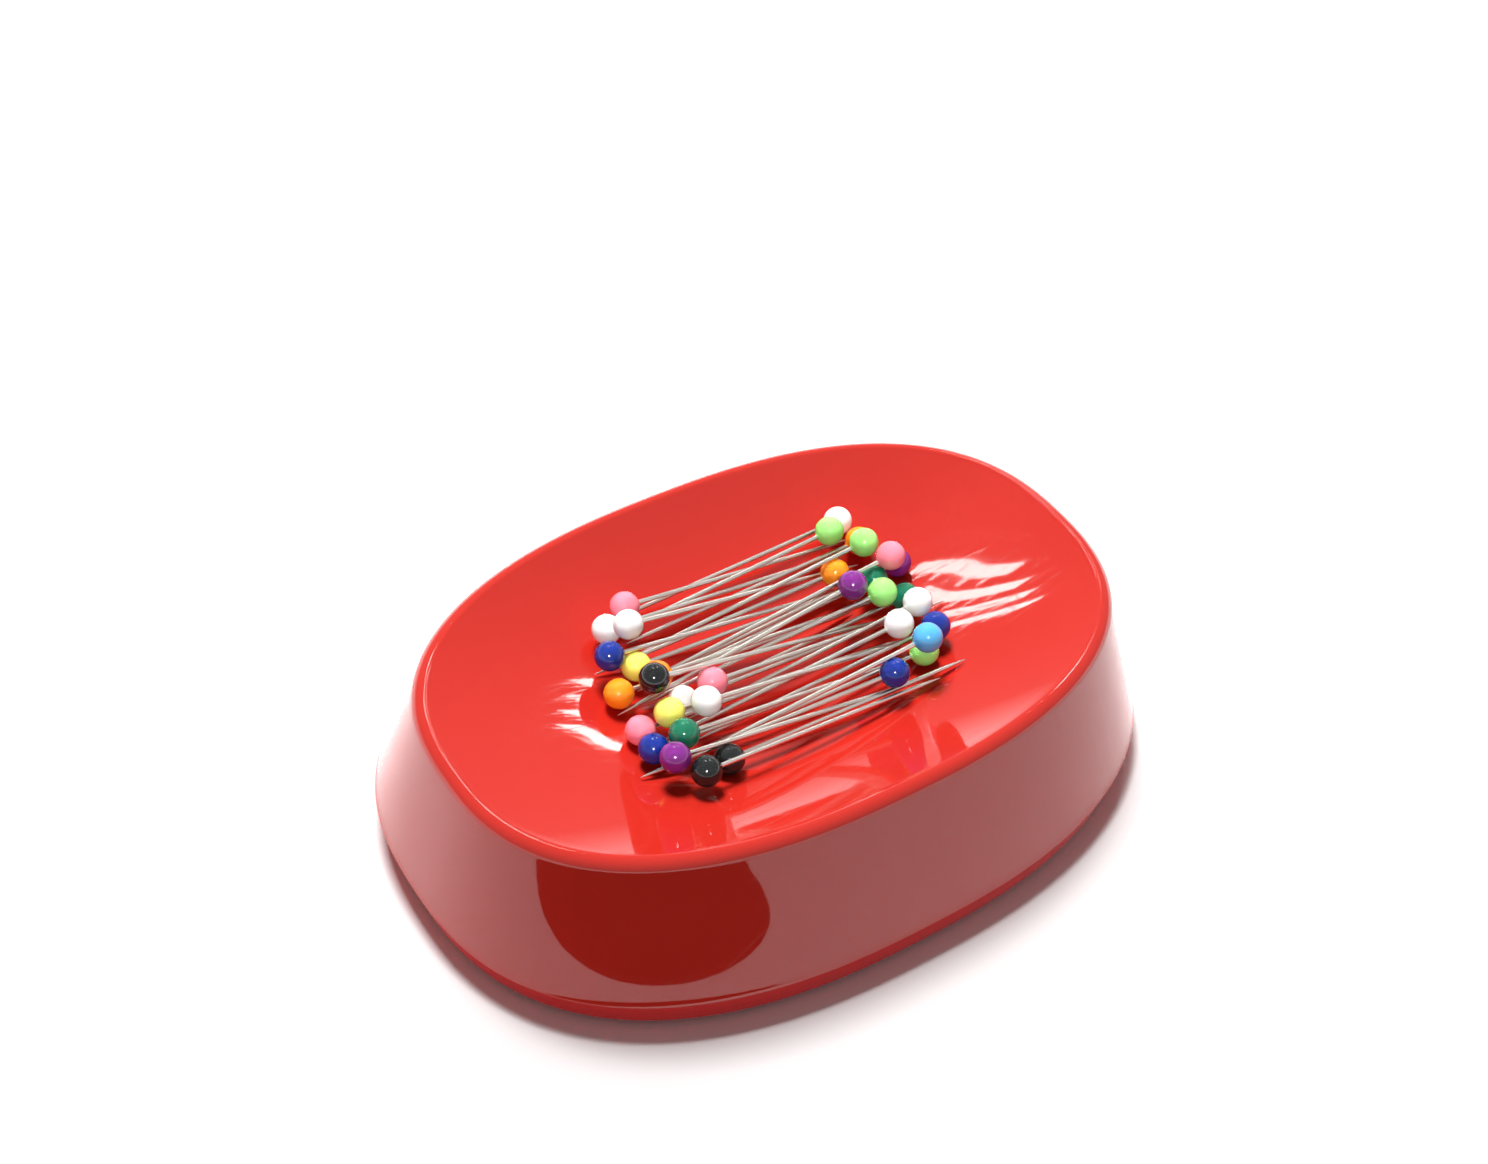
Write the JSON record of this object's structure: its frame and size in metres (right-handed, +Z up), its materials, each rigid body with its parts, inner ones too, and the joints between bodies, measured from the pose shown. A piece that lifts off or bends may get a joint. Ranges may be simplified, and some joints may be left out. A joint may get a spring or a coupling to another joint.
{
  "type": "magnetic pin bowl",
  "caption": "Oval magnetic pin bowl in glossy red plastic, with 35 ball-headed dressmaking pins lying across its dish.",
  "frame": {"origin": "on the table under the middle of the bowl", "axes": "+X along the long axis of the bowl, +Y to the back, +Z up"},
  "size_m": [0.106, 0.076, 0.0267],
  "materials": {
    "bowl_red": "high gloss",
    "base_red": "gloss",
    "steel": "rolled",
    "ferrite": "sintered, matt",
    "foam": "soft foam",
    "foot_rubber": "matt",
    "head_white": "glossy",
    "head_lime": "glossy",
    "head_orange": "glossy",
    "head_pink": "glossy",
    "head_purple": "glossy",
    "head_green": "glossy",
    "head_blue": "glossy",
    "head_sky": "glossy",
    "head_yellow": "glossy",
    "head_black": "glossy"
  },
  "bodies": {
    "bowl": {"dish_shell": "bowl_red", "base_tray": "base_red", "magnet_left": "ferrite", "magnet_right": "ferrite", "keeper_plate": "steel", "foam_pad": "foam", "foot_front_left": "foot_rubber", "foot_front_right": "foot_rubber", "foot_back_left": "foot_rubber", "foot_back_right": "foot_rubber"},
    "pin_bunch": {"pin_white_1": "head_white", "pin_lime_1": "head_lime", "pin_orange_1": "head_orange", "pin_orange_2": "head_orange", "pin_purple_1": "head_purple", "pin_purple_2": "head_purple", "pin_green_1": "head_green", "pin_lime_3": "head_lime", "pin_green_2": "head_green", "pin_white_3": "head_white", "pin_blue_1": "head_blue", "pin_lime_4": "head_lime", "pin_sky_1": "head_sky", "pin_blue_2": "head_blue", "pin_pink_2": "head_pink", "pin_white_5": "head_white", "pin_yellow_1": "head_yellow", "pin_orange_3": "head_orange", "pin_orange_4": "head_orange", "pin_black_1": "head_black", "pin_white_6": "head_white", "pin_pink_3": "head_pink", "pin_yellow_2": "head_yellow", "pin_pink_4": "head_pink", "pin_white_7": "head_white", "pin_blue_4": "head_blue", "pin_green_3": "head_green", "pin_black_2": "head_black", "pin_black_3": "head_black"},
    "pin_lime_2": {"pin_lime_2": "head_lime"},
    "pin_pink_1": {"pin_pink_1": "head_pink"},
    "pin_white_2": {"pin_white_2": "head_white"},
    "pin_white_4": {"pin_white_4": "head_white"},
    "pin_blue_3": {"pin_blue_3": "head_blue"},
    "pin_purple_3": {"pin_purple_3": "head_purple"}
  },
  "joints": [
    {"name": "bunch_lift", "type": "slide", "parent": "bowl", "child": "pin_bunch", "axis": [0, 0, 1], "range_m": [0, 0.016]},
    {"name": "draw_lime_2", "type": "slide", "parent": "pin_bunch", "child": "pin_lime_2", "axis": [0.9848, -0.0516, 0.1658], "range_m": [0, 0.039]},
    {"name": "draw_pink_1", "type": "slide", "parent": "pin_bunch", "child": "pin_pink_1", "axis": [0.9791, -0.0599, 0.1942], "range_m": [0, 0.039]},
    {"name": "draw_white_2", "type": "slide", "parent": "pin_bunch", "child": "pin_white_2", "axis": [0.9901, -0.0346, 0.1361], "range_m": [0, 0.019]},
    {"name": "draw_white_4", "type": "slide", "parent": "pin_bunch", "child": "pin_white_4", "axis": [-0.9964, 0.0348, 0.0771], "range_m": [0, 0.01]},
    {"name": "draw_blue_3", "type": "slide", "parent": "pin_bunch", "child": "pin_blue_3", "axis": [-0.9908, 0.0346, 0.1307], "range_m": [0, 0.02]},
    {"name": "draw_purple_3", "type": "slide", "parent": "pin_bunch", "child": "pin_purple_3", "axis": [-0.991, 0.0433, 0.1268], "range_m": [0, 0.019]}
  ]
}
